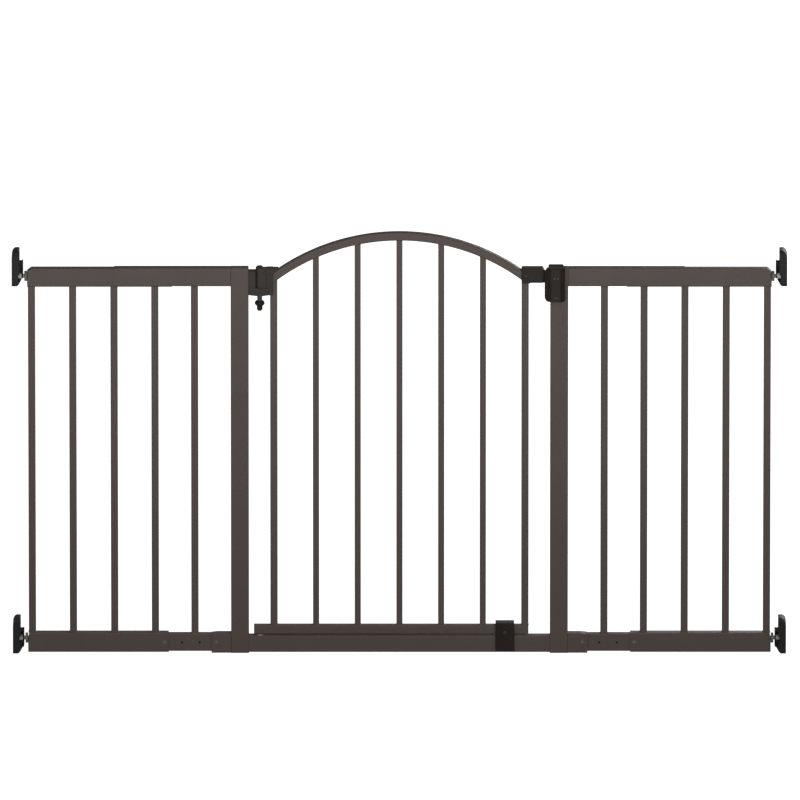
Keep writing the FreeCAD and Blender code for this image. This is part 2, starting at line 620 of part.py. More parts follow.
def stop_clip():
    """A clip over the door's bottom rail, whose front leg stops the door against the base rail."""
    x = (CLIP_LEFT, CLIP_RIGHT)
    body = block(x, (CLIP_FRONT, CLIP_BACK), (CLIP_BOTTOM, CLIP_TOP))
    body = body.makeFillet(2.0, edges_near(body, lambda p: p.y < CLIP_FRONT + 0.01))
    back_rim = edges_near(body, lambda p: p.z > CLIP_TOP - 0.01 and p.y > CLIP_BACK - 0.01)
    body = body.makeFillet(1.5, back_rim)
    leg_back = -BASE_DEPTH / 2 - 0.8
    half = ARCH_TUBE / 2
    through = (x[0] - 1, x[1] + 1)
    body = body.cut(block(through, (leg_back, CLIP_BACK + 1), (CLIP_BOTTOM - 1, DOOR_RAIL_BOTTOM)))
    body = body.cut(block(through, (-half, half), (DOOR_RAIL_BOTTOM - 1, DOOR_RAIL_TOP)))
    body = body.cut(block(through, (0, CLIP_BACK + 1), (CLIP_BOTTOM, DOOR_RAIL_BOTTOM + 2)))
    return body.cut(rod_y(CLIP_SCREW[0], (CLIP_FRONT - 1, 0), CLIP_SCREW[1], CLIP_SHANK_R))


def clip_screw():
    return domed_screw(CLIP_SCREW[0], CLIP_SCREW[1], CLIP_FRONT, 3.6, 1.8, CLIP_SHANK_R, 7.2)


# --- side panel: drawn for the right-hand side --------------------------------------------------------
LOCK_SCREW_X = PIN_HOLE_FIRST + 2 * PIN_HOLE_PITCH
TUBE_Z = (RAIL_BOTTOM - PANEL_TUBE_DROP, FRAME_HEIGHT - CHANNEL_WALL - SLIDE_GAP)
TUBE_DEPTH = FRAME_DEPTH - 2 * CHANNEL_WALL - 2 * SLIDE_GAP
SLEEVE_Z = (SLEEVE_BOTTOM, SLEEVE_TOP)


def slanted(shape, top, slant):
    """Cuts the outer top corner off a rail's end; slant is its run and drop."""
    end = PANEL_END + END_CAP
    run, drop = slant
    far = end + run
    corner = [(end - run, top), (end - run, top + 5), (far, top + 5), (far, top - 2 * drop)]
    return shape.cut(prism_y(corner, (-FRAME_DEPTH, FRAME_DEPTH)))


def panel_top_tube():
    return slanted(rail((PANEL_INNER_END, PANEL_END), TUBE_Z, TUBE_DEPTH, 1.6), TUBE_Z[1], TOP_SLANT)


def bottom_sleeve():
    sleeve = rail((SLEEVE_INNER_END, PANEL_END), SLEEVE_Z, FRAME_DEPTH, wall=0)
    bore_z = (INNER_TUBE_BOTTOM - SLIDE_GAP, INNER_TUBE_TOP + SLIDE_GAP)
    bore = rail((SLEEVE_INNER_END - 1, PANEL_END + 1), bore_z, INNER_TUBE_DEPTH + 2 * SLIDE_GAP, wall=0)
    sleeve = sleeve.cut(bore).cut(screw_hole(LOCK_SCREW_X, PIN_HOLE_HEIGHT, SOCKET_SHANK_R))
    return slanted(sleeve, SLEEVE_TOP, SLEEVE_SLANT)


def lock_screw():
    shank = HALF_DEPTH - INNER_TUBE_DEPTH / 2 - SLIDE_GAP
    return domed_screw(LOCK_SCREW_X, PIN_HOLE_HEIGHT, -HALF_DEPTH, *RAIL_SCREW_HEAD, SOCKET_SHANK_R, shank)


def panel_bars():
    z = (SLEEVE_TOP, TUBE_Z[0])
    return group([upright(x, z, SIDE_BAR, SIDE_BAR, 1.5, BAR_WALL) for x in PANEL_BARS_X])


def end_caps():
    """A plastic plug in each open end of the panel's two rails, bored for the spindle."""
    caps = []
    rims = ((TUBE_Z, TUBE_DEPTH, WALL, TOP_SPINDLE_Z, TOP_SLANT),
            (SLEEVE_Z, FRAME_DEPTH, SLEEVE_WALL, BOTTOM_SPINDLE_Z, SLEEVE_SLANT))
    for z, depth, wall, spindle_z, slant in rims:
        lid = rail((PANEL_END, PANEL_END + END_CAP), z, depth, wall=0)
        lid = lid.makeFillet(1.0, edges_near(lid, lambda p: p.x > PANEL_END + END_CAP - 0.01))
        inset = wall + 0.4
        plug_z = (z[0] + inset, z[1] - inset)
        plug = rail((PANEL_END - 12, PANEL_END), plug_z, depth - 2 * inset, 0.8, 0)
        bore = rod_x((PANEL_END - 20, PANEL_END + 10), 0, spindle_z, SPINDLE_R + RUNNING)
        caps.append(slanted(lid.fuse(plug).cut(bore), z[1], slant))
    return group(caps)


# --- wall foot: drawn for the right-hand side ---------------------------------------------------------
NECK_X = (796.4, 799.3)
FOOT_THICK = 8.6
POCKET_GAP = 0.3
CRADLE_OUT = 17.0               # half width of the boss's lip
CRADLE_IN = 11.5                # half width of the walls behind it


def spindle(z):
    """A threaded rod with a neck and a foot disc that drops into the wall cup."""
    rod = rod_x((SPINDLE_START, NECK_X[0]), 0, z, SPINDLE_R)
    rod = rod.makeChamfer(1.0, edges_near(rod, lambda p: p.x < SPINDLE_START + 0.01))
    neck = rod_x(NECK_X, 0, z, NECK_R)
    foot = rod_x((NECK_X[1], NECK_X[1] + FOOT_THICK), 0, z, FOOT_R)
    foot = foot.makeFillet(1.6, edges_near(foot, lambda p: abs(p.x - NECK_X[1] - FOOT_THICK / 2) > 2))
    return rod.fuse([neck, foot]).removeSplitter()


def adjusting_nut(z):
    start = PANEL_END + END_CAP + 0.3
    nut = rod_x((start, start + NUT_THICK), 0, z, NUT_R)
    nut = nut.makeChamfer(0.8, edges_near(nut, lambda p: True))
    through = (start - 1, start + NUT_THICK + 1)
    reach = NUT_R + 0.6
    notches = 12
    for i in range(notches):
        angle = 2 * math.pi * i / notches
        y = reach * math.cos(angle)
        nut = nut.cut(rod_x(through, y, z + reach * math.sin(angle), 1.6))
    return nut.cut(rod_x(through, 0, z, SPINDLE_R + RUNNING))


def keyhole(x, low, top, half_width):
    """A slot along X with a round lower end, open at the top."""
    round_end = rod_x(x, 0, low, half_width)
    return round_end.fuse(block(x, (-half_width, half_width), (low, top)))


def wall_cup(bottom, spindle_z):
    """The wall cup: a plate with a lipped cradle, open at the top and front, for the spindle's foot."""
    plate_x = WALL_FACE - CUP_PLATE
    boss_x = plate_x - CUP_BOSS
    lip_x = boss_x + CUP_LIP
    pocket_x = NECK_X[1] + FOOT_THICK + 0.2
    top = bottom + CUP_HEIGHT
    boss_top = bottom + CUP_BOSS_TOP
    run, drop = CUP_SHOULDER
    turns = [math.radians(15 * step) for step in range(7)]
    shoulder = [(WALL_FACE - run + run * math.cos(t), top - drop + drop * math.sin(t)) for t in turns]
    profile = [(WALL_FACE, bottom)] + shoulder + [
        (plate_x + 1.5, top), (plate_x, top - 2), (plate_x, boss_top), (boss_x, boss_top),
        (boss_x, bottom + CUP_TAPER[1]), (boss_x + CUP_TAPER[0], bottom)]
    half = CUP_DEPTH / 2
    cup = prism_y(profile, (-half, half))
    shield = section(CUP_HEIGHT, CUP_DEPTH, 8.0, 0).extrude(V(0, 0, CUP_PLATE + CUP_BOSS + 2))
    shield.rotate(V(0, 0, 0), V(0, 1, 0), 90)
    shield.translate(V(boss_x - 1, 0, bottom + CUP_HEIGHT / 2))
    cup = cup.common(shield)
    for side in (-1, 1):
        beside_boss = sorted((side * CRADLE_OUT, side * (half + 1)))
        cup = cup.cut(block((boss_x - 1, plate_x), beside_boss, (bottom - 1, top)))
        beside_walls = sorted((side * CRADLE_IN, side * (half + 1)))
        cup = cup.cut(block((lip_x, plate_x), beside_walls, (bottom + 10, top)))
    height = (spindle_z - FOOT_R - 0.2, spindle_z + FOOT_R)
    cup = cup.cut(block((lip_x, plate_x), (-half - 1, 0), (height[0], boss_top - 4)))
    cup = cup.cut(block((lip_x, pocket_x), (-half - 1, 0), height))
    cup = cup.cut(block((boss_x - 1, lip_x), (-half - 1, -NECK_R - 3), height))
    cup = cup.cut(keyhole((boss_x - 1, lip_x), spindle_z, boss_top + 1, NECK_R + POCKET_GAP))
    cup = cup.cut(keyhole((lip_x, plate_x), spindle_z, boss_top + 1, FOOT_R + POCKET_GAP))
    cup = cup.cut(rod_x((plate_x - 1, pocket_x), 0, spindle_z, FOOT_R + POCKET_GAP))
    screw_z = bottom + CUP_SCREW_UP
    cup = cup.cut(rod_x((plate_x - 1, WALL_FACE + 1), 0, screw_z, CUP_SCREW_R))
    return cup.cut(rod_x((plate_x - 1, plate_x + 3), 0, screw_z, 4.5))


# --- every node by name -------------------------------------------------------------------------------
def right_side():
    """Nodes of the right-hand side; the left-hand side is their mirror image."""
    nodes = {
        "top_channel": top_channel(),
        "post_socket": foot_socket(),
        "inner_tube": inner_tube(),
        "panel_top_tube": panel_top_tube(),
        "panel_bottom_sleeve": bottom_sleeve(),
        "panel_bars": panel_bars(),
        "panel_end_caps": end_caps(),
        "panel_lock_screw": lock_screw(),
    }
    for level, spindle_z, cup_z in (("top", TOP_SPINDLE_Z, TOP_CUP_Z), ("bottom", BOTTOM_SPINDLE_Z, 0.0)):
        nodes[level + "_spindle"] = spindle(spindle_z)
        nodes[level + "_adjusting_nut"] = adjusting_nut(spindle_z)
        nodes[level + "_wall_cup"] = wall_cup(cup_z, spindle_z)
    return nodes


def middle():
    """Nodes of the centre frame and the door."""
    wall_slot = bolt_slot((-HALF_DEPTH - 1, -HALF_DEPTH + WALL + 1), 0.4)
    return {
        "left_post": mirrored(post()),
        "right_post": post().cut(wall_slot),
        "post_caps": group([post_cap(), mirrored(post_cap())]),
        "base_rail": base_rail(),
        "fixed_bars": group([fixed_bar(), mirrored(fixed_bar())]),
        "socket_screws": group([socket_screw(), mirrored(socket_screw())]),
        "lower_pivot_pin": pivot_pin(),
        "hinge_bracket": hinge_bracket(),
        "striker_plate": striker_plate(),
        "hinge_pin": hinge_pin(),
        "hinge_pin_cap": pin_cap(),
        "hinge_retaining_nut": retaining_nut(),
        "door_bottom_rail": door_rail(),
        "door_rail_plugs": door_rail_plugs(),
        "door_hinge_stile": stile(-1),
        "door_latch_stile": stile(1),
        "door_arch": door_arch(),
        "door_bars": group([door_bar(i * DOOR_BAR_PITCH) for i in range(-2, 3)]),
        "door_hinge_housing": hinge_housing(),
        "door_pivot_bush": pivot_bush(),
        "latch_arm_front": latch_arm(True),
        "latch_arm_back": latch_arm(False),
        "latch_arm_screw": latch_arm_screw(),
        "handle_front_shell": handle_shell(True),
        "handle_back_shell": handle_shell(False),
        "handle_screws": group([handle_screw(x, z) for x, z in HANDLE_SCREWS]),
        "thumb_button": thumb_button(),
        "lock_bolt": lock_bolt(),
        "stop_clip": stop_clip(),
        "stop_clip_screw": clip_screw(),
    }


def main():
    os.makedirs("parts", exist_ok=True)
    nodes = middle()
    for name, shape in right_side().items():
        nodes["right_" + name] = shape
        nodes["left_" + name] = mirrored(shape)
    for name, shape in nodes.items():
        shape.translate(V(0, PLANE_Y, 0))
        shape.exportStep("parts/" + name + ".step")
        print(name, len(shape.Solids), shape.isValid(), round(shape.Volume))
    box = Part.makeCompound(list(nodes.values())).BoundBox
    print(len(nodes), "nodes", box)


main()
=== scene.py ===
import json
import math

import bmesh
import bpy
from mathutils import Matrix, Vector, noise as value_noise


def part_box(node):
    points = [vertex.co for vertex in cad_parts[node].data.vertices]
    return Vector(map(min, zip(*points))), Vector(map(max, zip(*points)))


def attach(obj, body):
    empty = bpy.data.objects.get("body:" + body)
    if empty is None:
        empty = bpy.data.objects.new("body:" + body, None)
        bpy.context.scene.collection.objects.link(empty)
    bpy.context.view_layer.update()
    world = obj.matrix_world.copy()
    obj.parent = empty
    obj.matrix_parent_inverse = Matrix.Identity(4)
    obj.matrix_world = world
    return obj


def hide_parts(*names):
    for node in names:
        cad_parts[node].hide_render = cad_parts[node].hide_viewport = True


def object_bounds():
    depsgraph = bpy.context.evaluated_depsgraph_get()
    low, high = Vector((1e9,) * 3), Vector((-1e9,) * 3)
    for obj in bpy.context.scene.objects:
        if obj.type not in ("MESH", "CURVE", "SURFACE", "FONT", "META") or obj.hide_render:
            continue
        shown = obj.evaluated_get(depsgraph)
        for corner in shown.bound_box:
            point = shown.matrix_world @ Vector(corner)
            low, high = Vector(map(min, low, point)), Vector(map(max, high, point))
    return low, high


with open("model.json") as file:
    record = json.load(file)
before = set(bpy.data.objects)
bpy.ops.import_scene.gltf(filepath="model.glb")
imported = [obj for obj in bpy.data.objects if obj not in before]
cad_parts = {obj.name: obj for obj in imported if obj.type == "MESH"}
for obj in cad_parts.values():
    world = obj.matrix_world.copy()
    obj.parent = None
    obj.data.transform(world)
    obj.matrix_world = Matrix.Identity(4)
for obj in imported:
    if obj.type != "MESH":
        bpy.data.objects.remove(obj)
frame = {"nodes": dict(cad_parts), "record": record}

cad_lo, cad_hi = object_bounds()
NODES = frame["nodes"]
BODIES = frame["record"]["behaviour"]["bodies"]
BODY_OF = {node: body for body, members in BODIES.items() for node in members}
SLOT_OF = {part["node"]: part["material_slot"] for part in frame["record"]["subparts"]}
SIDES = ("left", "right")
LEVELS = ("top", "bottom")
MM = 0.001


def srgb(r, g, b):
    """A colour given as 0 to 255 sRGB, as linear RGBA."""
    def linear(v):
        v /= 255
        return v / 12.92 if v <= 0.04045 else ((v + 0.055) / 1.055) ** 2.4
    return (linear(r), linear(g), linear(b), 1.0)


# --- camera ---------------------------------------------------------------------------------------
CAMERA_PITCH = math.radians(14.0)
CAMERA_DISTANCE = 60.0          # far off, so that the uprights stay parallel
VIEW_WIDTH = 1.696              # how much the picture takes in across the gate, in metres
AIM_X = 0.0012
AIM_HEIGHT = 0.551


def middle(node):
    lo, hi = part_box(node)
    return (lo + hi) / 2


def make_camera():
    data = bpy.data.cameras.new("camera")
    camera = bpy.data.objects.new("camera", data)
    bpy.context.scene.collection.objects.link(camera)
    data.sensor_width = 36.0
    data.lens = data.sensor_width * CAMERA_DISTANCE / VIEW_WIDTH
    data.clip_end = 200.0
    back = Vector((0.0, -math.cos(CAMERA_PITCH), math.sin(CAMERA_PITCH)))
    camera.location = Vector((AIM_X, middle("base_rail").y, AIM_HEIGHT)) + back * CAMERA_DISTANCE
    camera.rotation_mode = "QUATERNION"
    camera.rotation_quaternion = (-back).to_track_quat("-Z", "Y")
    bpy.context.scene.camera = camera


# --- stage and light ------------------------------------------------------------------------------
FLOOR_HALF = 60.0
FLOOR_GLOW = 0.97
SKY_STRENGTH = 0.22
# name: (place, what it points at, width and height, power in watts), in metres
LIGHTS = {
    "key": ((0.0, -1.4, 0.82), (0, 0, 0.72), (3.8, 0.3), 21),
    "fill": ((0.6, -4.2, 3.2), (0, 0, 0.6), (3.0, 1.6), 30),
    "rim": ((2.6, 2.6, 2.4), (0.5, 0, 0.6), (1.6, 1.0), 26),
    "back": ((2.0, 4.0, 1.2), (0, 0, 0.5), (2.6, 1.4), 55),
}


def make_stage():
    """A plain white floor, far larger than any view, that glows but sheds no light on the gate."""
    mesh = bpy.data.meshes.new("floor")
    corners = [(-FLOOR_HALF, -FLOOR_HALF, 0), (FLOOR_HALF, -FLOOR_HALF, 0),
               (FLOOR_HALF, FLOOR_HALF, 0), (-FLOOR_HALF, FLOOR_HALF, 0)]
    mesh.from_pydata(corners, [], [(0, 1, 2, 3)])
    floor = bpy.data.objects.new("floor", mesh)
    bpy.context.scene.collection.objects.link(floor)
    floor.location.z = cad_lo.z - 0.2 * MM
    floor.visible_diffuse = False
    floor.visible_glossy = False
    material, nodes, links, shader = new_material("floor_paper")
    shader.inputs["Base Color"].default_value = (0.4, 0.4, 0.4, 1)
    shader.inputs["Roughness"].default_value = 1.0
    shader.inputs["Specular IOR Level"].default_value = 0.0
    shader.inputs["Emission Color"].default_value = (1, 1, 1, 1)
    shader.inputs["Emission Strength"].default_value = FLOOR_GLOW
    mesh.materials.append(material)


def area_light(name, place, target, size, power):
    data = bpy.data.lights.new(name, "AREA")
    data.shape = "RECTANGLE"
    data.size, data.size_y = size
    data.energy = power
    light = bpy.data.objects.new(name, data)
    bpy.context.scene.collection.objects.link(light)
    light.location = place
    light.rotation_mode = "QUATERNION"
    light.rotation_quaternion = (Vector(target) - Vector(place)).to_track_quat("-Z", "Y")


def make_lights():
    scene = bpy.context.scene
    scene.view_settings.view_transform = "Standard"
    world = bpy.data.worlds.new("studio")
    scene.world = world
    world.use_nodes = True
    background = world.node_tree.nodes["Background"]
    background.inputs["Color"].default_value = (1, 1, 1, 1)
    background.inputs["Strength"].default_value = SKY_STRENGTH
    for name, (place, target, size, power) in LIGHTS.items():
        area_light(name, place, target, size, power)


# --- materials ------------------------------------------------------------------------------------
def new_material(name):
    material = bpy.data.materials.new(name)
    material.use_nodes = True
    nodes = material.node_tree.nodes
    links = material.node_tree.links
    return material, nodes, links, nodes["Principled BSDF"]


def noise(nodes, links, vector, scale, detail=2.0, roughness=0.5):
    node = nodes.new("ShaderNodeTexNoise")
    node.inputs["Scale"].default_value = scale
    node.inputs["Detail"].default_value = detail
    node.inputs["Roughness"].default_value = roughness
    links.new(vector, node.inputs["Vector"])
    return node.outputs["Fac"]


def ramp(nodes, links, value, stops):
    """A colour ramp over (position, colour) stops."""
    node = nodes.new("ShaderNodeValToRGB")
    elements = node.color_ramp.elements
    while len(elements) < len(stops):
        elements.new(0.5)
    for element, (position, colour) in zip(elements, stops):
        element.position = position
        element.color = colour
    links.new(value, node.inputs["Fac"])
    return node.outputs["Color"]


def multiply(nodes, links, a, b):
    node = nodes.new("ShaderNodeMix")
    node.data_type = "RGBA"
    node.blend_type = "MULTIPLY"
    node.inputs[0].default_value = 1.0
    links.new(a, node.inputs[6])
    links.new(b, node.inputs[7])
    return node.outputs[2]


def bump(nodes, links, height, strength, distance, under=None):
    node = nodes.new("ShaderNodeBump")
    node.inputs["Strength"].default_value = strength
    node.inputs["Distance"].default_value = distance
    links.new(height, node.inputs["Height"])
    if under is not None:
        links.new(under, node.inputs["Normal"])
    return node.outputs["Normal"]


def shade(colour, factor):
    return tuple(c * factor for c in colour[:3]) + (1.0,)


def grey(value):
    return (value, value, value, 1.0)


def wavy(nodes, links, place, scale, middle_value, swing, detail=3.0):
    """A number that wanders either side of a middle value, as a colour socket."""
    return ramp(nodes, links, noise(nodes, links, place, scale, detail),
                [(0.3, grey(middle_value - swing)), (0.7, grey(middle_value + swing))])


def coated_metal(name, colour, roughness, speckle=0.12, peel=0.2):
    """Powder coat: slow drifts of tone, fine flecks and an orange-peel skin."""
    material, nodes, links, shader = new_material(name)
    place = nodes.new("ShaderNodeTexCoord").outputs["Object"]
    drift = ramp(nodes, links, noise(nodes, links, place, 6.0, 3.0),
                 [(0.3, shade(colour, 0.95)), (0.7, shade(colour, 1.05))])
    fleck = noise(nodes, links, place, 1300.0, 2.0, 0.7)
    flecks = ramp(nodes, links, fleck, [(0.35, grey(1 - speckle)), (0.65, grey(1 + speckle))])
    links.new(multiply(nodes, links, drift, flecks), shader.inputs["Base Color"])
    links.new(wavy(nodes, links, place, 800.0, roughness, 0.06), shader.inputs["Roughness"])
    skin = bump(nodes, links, noise(nodes, links, place, 550.0, 2.0), peel, 0.0004)
    links.new(bump(nodes, links, fleck, peel * 0.5, 0.0002, skin), shader.inputs["Normal"])
    shader.inputs["Specular IOR Level"].default_value = 0.3
    return material


def moulded_plastic(name, colour, roughness, grain=0.35, specks=0.1):
    """Injection moulding with a spark-eroded grain and pale specks, faint unless more are asked for."""
    material, nodes, links, shader = new_material(name)
    place = nodes.new("ShaderNodeTexCoord").outputs["Object"]
    drift = ramp(nodes, links, noise(nodes, links, place, 25.0, 3.0),
                 [(0.3, shade(colour, 0.9)), (0.7, shade(colour, 1.1))])
    pits = noise(nodes, links, place, 1100.0, 3.0, 0.65)
    speckles = ramp(nodes, links, pits, [(0.4, grey(1 - specks)), (0.62, grey(1 + specks)),
                                         (0.7, grey(1 + 6 * specks))])
    links.new(multiply(nodes, links, drift, speckles), shader.inputs["Base Color"])
    links.new(wavy(nodes, links, place, 900.0, roughness, 0.08), shader.inputs["Roughness"])
    links.new(bump(nodes, links, pits, grain, 0.0003), shader.inputs["Normal"])
    shader.inputs["Specular IOR Level"].default_value = 0.22
    return material


def plated_steel(name, colour, roughness, metallic):
    """Dull plated steel, faintly clouded and finely pitted."""
    material, nodes, links, shader = new_material(name)
    place = nodes.new("ShaderNodeTexCoord").outputs["Object"]
    cloud = ramp(nodes, links, noise(nodes, links, place, 160.0, 4.0),
                 [(0.3, shade(colour, 0.82)), (0.7, shade(colour, 1.1))])
    links.new(cloud, shader.inputs["Base Color"])
    links.new(wavy(nodes, links, place, 1200.0, roughness, 0.09), shader.inputs["Roughness"])
    pits = noise(nodes, links, place, 2500.0, 2.0)
    links.new(bump(nodes, links, pits, 0.12, 0.0002), shader.inputs["Normal"])
    shader.inputs["Metallic"].default_value = metallic
    return material


MATERIALS = {
    "bronze_powdercoat": coated_metal("bronze_powdercoat", srgb(80, 70, 65), 0.52),
    # the screw heads' coat is painted lighter than the rails' bronze: a painted highlight, standing in
    # for the glint the small domed heads catch
    "bronze_screw": coated_metal("bronze_screw", srgb(104, 95, 88), 0.4),
    "latch_plastic": moulded_plastic("latch_plastic", srgb(36, 28, 22), 0.55),
    "hinge_plastic": moulded_plastic("hinge_plastic", srgb(51, 46, 41), 0.55, 0.45),
    "cup_plastic": moulded_plastic("cup_plastic", srgb(31, 31, 32), 0.6, 0.5, 0.25),
    "black_plastic": moulded_plastic("black_plastic", srgb(24, 23, 21), 0.5),
    "dark_screw": coated_metal("dark_screw", srgb(62, 57, 52), 0.38),
    "nut_plate": plated_steel("nut_plate", srgb(108, 101, 94), 0.55, 0.2),
    # zinc plating is pale grey, but this colour is raised further as painted light, so the spindles'
    # feet and threads read bright inside the cups' shaded cradles
    "zinc": plated_steel("zinc", srgb(198, 191, 184), 0.6, 0.1),
    "indicator": moulded_plastic("indicator", srgb(82, 77, 71), 0.5),
}


# how far the edges of moulded and pressed nodes are rounded, in millimetres
ROUNDED = {
    "handle_front_shell": 0.35, "handle_back_shell": 0.35, "hinge_bracket": 0.8,
    "door_hinge_housing": 0.5, "stop_clip": 0.4, "striker_plate": 0.2,
}
for side in SIDES:
    for level in LEVELS:
        ROUNDED[f"{side}_{level}_wall_cup"] = 0.5


def dress_frame():
    """Gives every CAD node its slot's material and softly rounds some of their edges."""
    for name, node in NODES.items():
        node.data.materials.clear()
        node.data.materials.append(MATERIALS[SLOT_OF[name]])
        if name in ROUNDED:
            bevel = node.modifiers.new("edge", "BEVEL")
            bevel.width = ROUNDED[name] * MM
            bevel.segments = 3
            bevel.limit_method = "ANGLE"
            bevel.angle_limit = math.radians(35)
            bevel.use_clamp_overlap = False


# --- building pieces ------------------------------------------------------------------------------
def new_piece(name, build, slot, body=None, replaces=()):
    """A smooth mesh piece filled in by build(bm); it rides on a body or stands for CAD nodes."""
    mesh = bpy.data.meshes.new(name)
    bm = bmesh.new()
    build(bm)
    bmesh.ops.recalc_face_normals(bm, faces=bm.faces)
    bm.to_mesh(mesh)
    bm.free()
    for polygon in mesh.polygons:
        polygon.use_smooth = True
    mesh.materials.append(MATERIALS[slot])
    piece = bpy.data.objects.new(name, mesh)
    bpy.context.scene.collection.objects.link(piece)
    if replaces:
        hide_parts(*replaces)
    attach(piece, body or BODY_OF[replaces[0]])
    return piece


def bridge(bm, a, b):
    """A band of faces between two rings of equal length."""
    count = len(a)
    for i in range(count):
        j = (i + 1) % count
        bm.faces.new((a[i], a[j], b[j], b[i]))


def ring_faces(bm, rings, closed):
    """Joins rings in a row; a closed row meets end to end, an open one is capped."""
    pairs = list(zip(rings, rings[1:]))
    if closed:
        pairs.append((rings[-1], rings[0]))
    for a, b in pairs:
        bridge(bm, a, b)
    if not closed:
        bm.faces.new(rings[0])
        bm.faces.new(rings[-1])


# --- weld beads -----------------------------------------------------------------------------------
ARCH_OUTER = 450.0 * MM         # the arch's outer radius
ARCH_TUBE = 17.5 * MM
BARRED = ("fixed_bars", "left_panel_bars", "right_panel_bars", "door_bars", "door_hinge_stile",
          "door_latch_stile")
BAR_GAP = 20 * MM               # vertices further apart than this belong to different bars
BEAD_R = 0.9 * MM
BEAD_CORNER = 2.0 * MM


def arch_under(x):
    """The height of the arch's inner face above x, on the arch's one radius."""
    lo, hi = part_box("door_arch")
    return hi.z - ARCH_OUTER + math.sqrt((ARCH_OUTER - ARCH_TUBE) ** 2 - x * x)


def square_path(x, half, corner=BEAD_CORNER):
    """Points and outward directions round a square bar at x, with rounded corners."""
    path = []
    for quarter in range(4):
        middle_turn = math.radians(90 * quarter + 45)
        diagonal = Vector((math.cos(middle_turn), math.sin(middle_turn), 0))
        pivot = diagonal * math.sqrt(2) * (half - corner)
        for step in range(7):
            turn = math.radians(90 * quarter + 90 * step / 6)
            out = Vector((math.cos(turn), math.sin(turn), 0))
            path.append((Vector((x, 0, 0)) + pivot + out * corner, out))
        end = math.radians(90 * (quarter + 1))
        along = Vector((-math.sin(end), math.cos(end), 0))
        point, out = path[-1]
        for step in range(1, 9):
            path.append((point + along * 2 * (half - corner) * step / 9, out))
    return path


def weld_bead(bm, x, half, plane_y, height, radius=BEAD_R):
    """A rippled bead round a square bar at x; height(x) is where the bar meets its rail."""
    rings = []
    for point, out in square_path(x, half):
        here = Vector((point.x, point.y + plane_y, height(point.x)))
        swell = radius * (1 + 0.3 * value_noise.noise(here * 700))
        ring = []
        for step in range(8):
            angle = math.radians(45 * step)
            around = out * math.cos(angle) + Vector((0, 0, math.sin(angle)))
            ring.append(bm.verts.new(here + around * swell))
        rings.append(ring)
    ring_faces(bm, rings, True)


def uprights_in(node):
    """(middle, half width) of every separate upright in a CAD node."""
    xs = sorted({round(v.co.x, 5) for v in NODES[node].data.vertices})
    groups = [[xs[0]]]
    for x in xs[1:]:
        if x - groups[-1][-1] > BAR_GAP:
            groups.append([])
        groups[-1].append(x)
    return [((g[0] + g[-1]) / 2, (g[-1] - g[0]) / 2) for g in groups]


def weld_the_bars():
    """Beads at both ends of every bar, except the stiles' heads, which the arm and hinge enclose."""
    plane_y = middle("base_rail").y
    for node in BARRED:
        lo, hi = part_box(node)
        in_door = BODY_OF[node] == "door"
        for i, (x, half) in enumerate(uprights_in(node)):
            ends = [("foot", lambda _: lo.z)]
            if not node.endswith("stile"):
                ends.append(("head", arch_under if in_door else lambda _: hi.z))
            for end, height in ends:
                def bead(bm, x=x, half=half, height=height):
                    weld_bead(bm, x, half, plane_y, height)
                new_piece(f"{node}_weld_{i}_{end}", bead, "bronze_powdercoat", BODY_OF[node])


# --- threaded spindles ----------------------------------------------------------------------------
THREAD_PITCH = 1.5 * MM
THREAD_DEPTH = 0.55 * MM
NECK_LENGTH = 2.9 * MM
FOOT_LENGTH = 8.6 * MM
NECK_R = 5.0 * MM
ROD_R = 4.4 * MM
NECK_EDGE = 0.3 * MM
FOOT_EDGE = 1.2 * MM
EDGE_STEPS = 4
ROD_SIDES = 28
STEPS_PER_PITCH = 6
LEAD_IN = 4 * MM                # over this length the rod's start widens to the full thread


def thread_radius(along, turn):
    """The thread's radius: a rounded V that advances one pitch a turn."""
    phase = (along / THREAD_PITCH - turn / (2 * math.pi)) % 1.0
    return ROD_R - THREAD_DEPTH * abs(2 * phase - 1) ** 1.3


def spindle(bm, node, outward):
    """A threaded rod, its neck and its foot disc, along X from the inner end to the outer one."""
    lo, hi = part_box(node)
    centre = middle(node)
    inner = lo.x if outward > 0 else hi.x
    foot_r = (hi.z - lo.z) / 2
    length = hi.x - lo.x
    rod_end = length - NECK_LENGTH - FOOT_LENGTH
    neck_end = length - FOOT_LENGTH
    rings_at = []
    steps = round(rod_end / (THREAD_PITCH / STEPS_PER_PITCH))
    for i in range(steps + 1):
        along = rod_end * i / steps
        lead = min(1.0, 0.78 + along / LEAD_IN)
        rings_at.append((along, lead, None))
    rings_at += [(rod_end, 1, NECK_R - NECK_EDGE), (rod_end + NECK_EDGE, 1, NECK_R),
                 (neck_end, 1, NECK_R), (neck_end, 1, foot_r - FOOT_EDGE)]
    for step in range(1, EDGE_STEPS + 1):
        turn = math.radians(90 * step / EDGE_STEPS)
        along = neck_end + FOOT_EDGE * (1 - math.cos(turn))
        rings_at.append((along, 1, foot_r - FOOT_EDGE * (1 - math.sin(turn))))
    for step in range(EDGE_STEPS + 1):
        turn = math.radians(90 * step / EDGE_STEPS)
        along = length - FOOT_EDGE * (1 - math.sin(turn))
        rings_at.append((along, 1, foot_r - FOOT_EDGE * (1 - math.cos(turn))))
    rings = []
    for along, lead, fixed in rings_at:
        ring = []
        for i in range(ROD_SIDES):
            turn = 2 * math.pi * i / ROD_SIDES
            radius = fixed or thread_radius(along, turn) * lead
            ring.append(bm.verts.new((inner + outward * along, centre.y + radius * math.cos(turn),
                                      centre.z + radius * math.sin(turn))))
        rings.append(ring)
    ring_faces(bm, rings, False)


def make_spindles():
    for side, outward in (("left", -1), ("right", 1)):
        for level in LEVELS:
            node = f"{side}_{level}_spindle"
            new_piece(f"{node}_threaded", lambda bm, n=node, o=outward: spindle(bm, n, o),
                      SLOT_OF[node], replaces=(node,))


